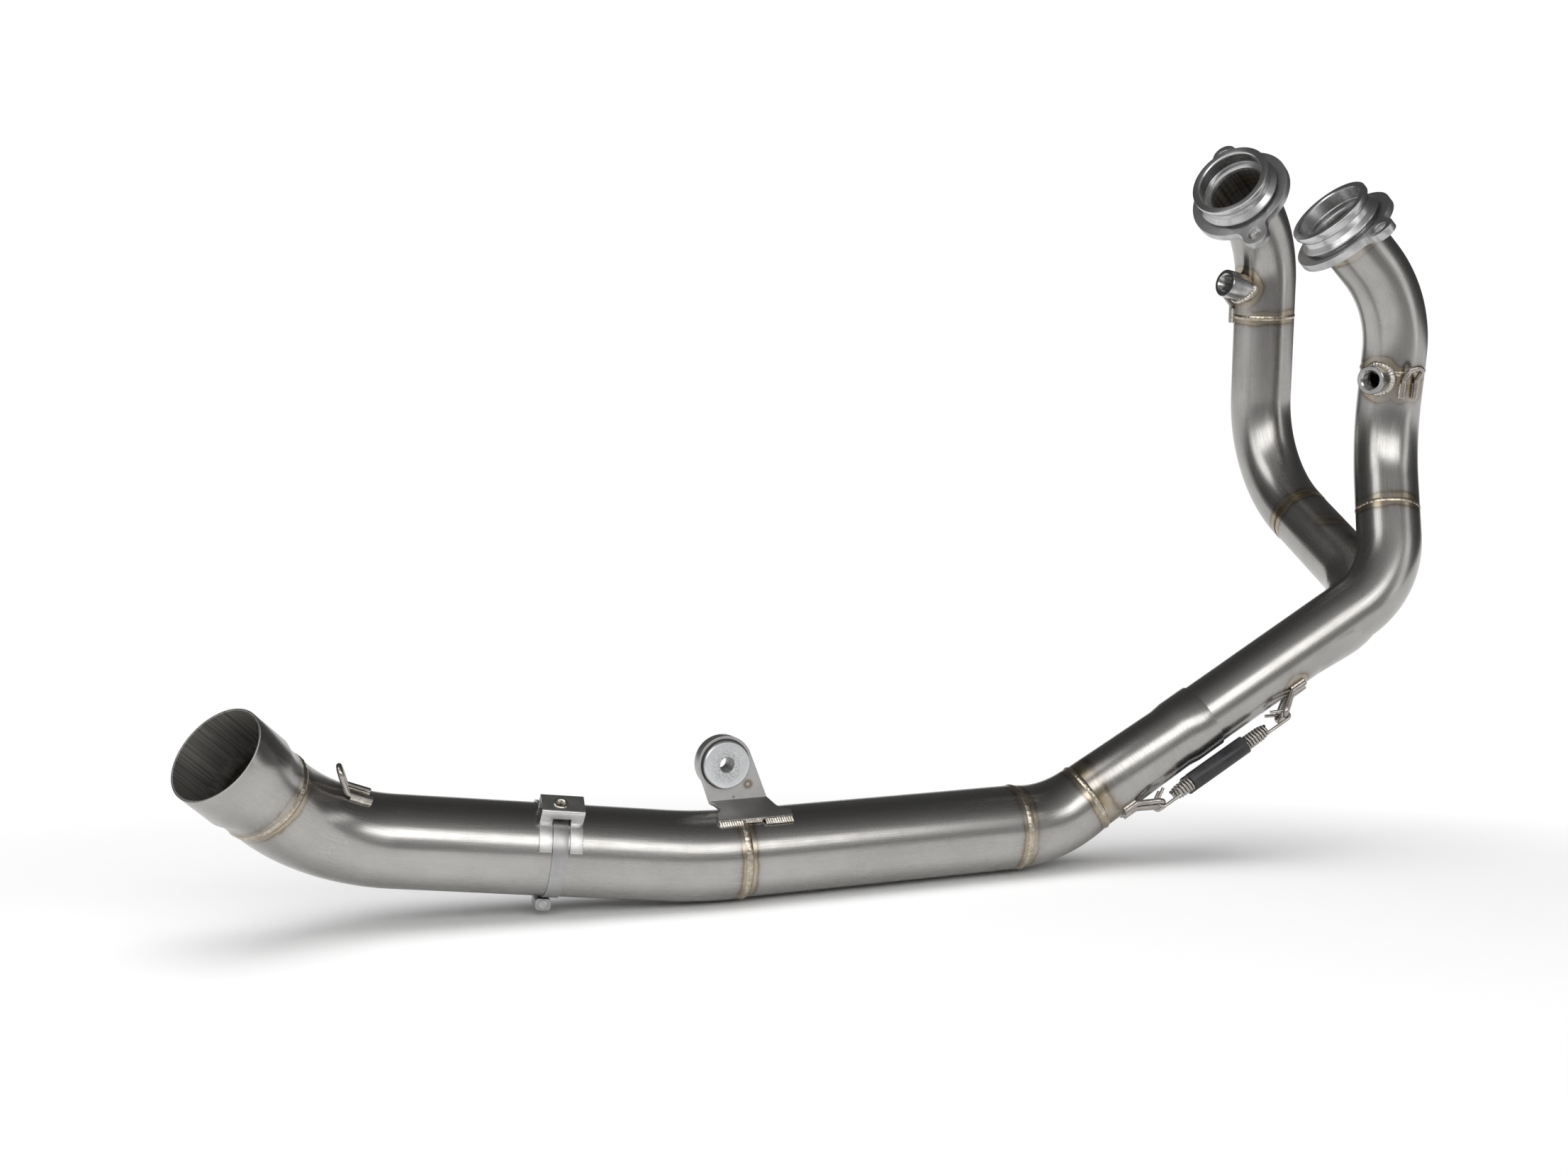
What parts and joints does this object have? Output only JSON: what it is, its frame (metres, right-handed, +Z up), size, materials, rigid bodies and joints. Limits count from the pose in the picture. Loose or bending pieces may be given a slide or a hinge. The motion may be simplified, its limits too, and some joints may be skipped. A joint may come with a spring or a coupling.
{
  "type": "motorcycle exhaust header",
  "caption": "Merging exhaust header for a motorcycle: flanged port spigots, hollow collector, sprung slip joint and a link pipe with hanger bracket and band clamp.",
  "frame": {"origin": "centre of the near port spigot, where its straight bore starts inside the mouth", "axes": "+X toward the ports from the outlet, along the longest extent; +Y away from the viewer of the picture; +Z up as the header stands on a floor"},
  "size_m": [0.6953, 0.3826, 0.4331],
  "materials": {
    "band": "rolled",
    "bracket_sheet": "matt",
    "bung": "turned",
    "bush": "satin anodised",
    "damper_rubber": "matt",
    "flange": "matt blasted with milled rims",
    "hook_wire": "drawn wire, straw tinted",
    "insert": "turned",
    "saddle": "brushed",
    "screw": "plain",
    "sleeve_rubber": "satin",
    "spigot": "turned, bright",
    "spring_wire": "drawn wire",
    "tube": "brushed",
    "weld": "bright"
  },
  "bodies": {
    "root": {"bracket_damper": "damper_rubber", "bracket_front_bush": "bush", "bracket_plate": "bracket_sheet", "bracket_rear_bush": "bush", "bracket_ring": "bracket_sheet", "bracket_weld": "weld", "clamp_band": "band", "clamp_housing": "screw", "clamp_insert": "insert", "clamp_saddle": "saddle", "clamp_screw": "screw", "cone_seam_weld": "weld", "elbow_pipe": "tube", "elbow_seam_weld": "weld", "far_bung_weld": "weld", "far_down_tube": "tube", "far_header_hook": "hook_wire", "far_header_hook_weld": "weld", "far_lower_hook_weld": "weld", "far_lower_spring_hook": "hook_wire", "far_port_flange": "flange", "far_port_spigot": "spigot", "far_seam_weld": "weld", "far_sensor_bung": "bung", "far_spigot_weld": "weld", "far_spring": "spring_wire", "far_spring_sleeve": "sleeve_rubber", "far_upper_bend": "tube", "far_upper_hook_weld": "weld", "far_upper_spring_hook": "hook_wire", "link_pipe": "tube", "link_seam_weld": "weld", "merge_collector": "tube", "near_bung_weld": "weld", "near_down_tube": "tube", "near_header_hook": "hook_wire", "near_header_hook_weld": "weld", "near_low_seam_weld": "weld", "near_lower_hook_weld": "weld", "near_lower_spring_hook": "hook_wire", "near_port_flange": "flange", "near_port_spigot": "spigot", "near_seam_weld": "weld", "near_sensor_bung": "bung", "near_spigot_weld": "weld", "near_spring": "spring_wire", "near_spring_sleeve": "sleeve_rubber", "near_upper_bend": "tube", "near_upper_hook_weld": "weld", "near_upper_spring_hook": "hook_wire", "outlet_hook": "hook_wire", "outlet_hook_weld": "weld", "outlet_seam_weld": "weld", "outlet_sleeve": "tube", "rear_pipe": "tube", "slip_sleeve": "tube"}
  },
  "joints": []
}
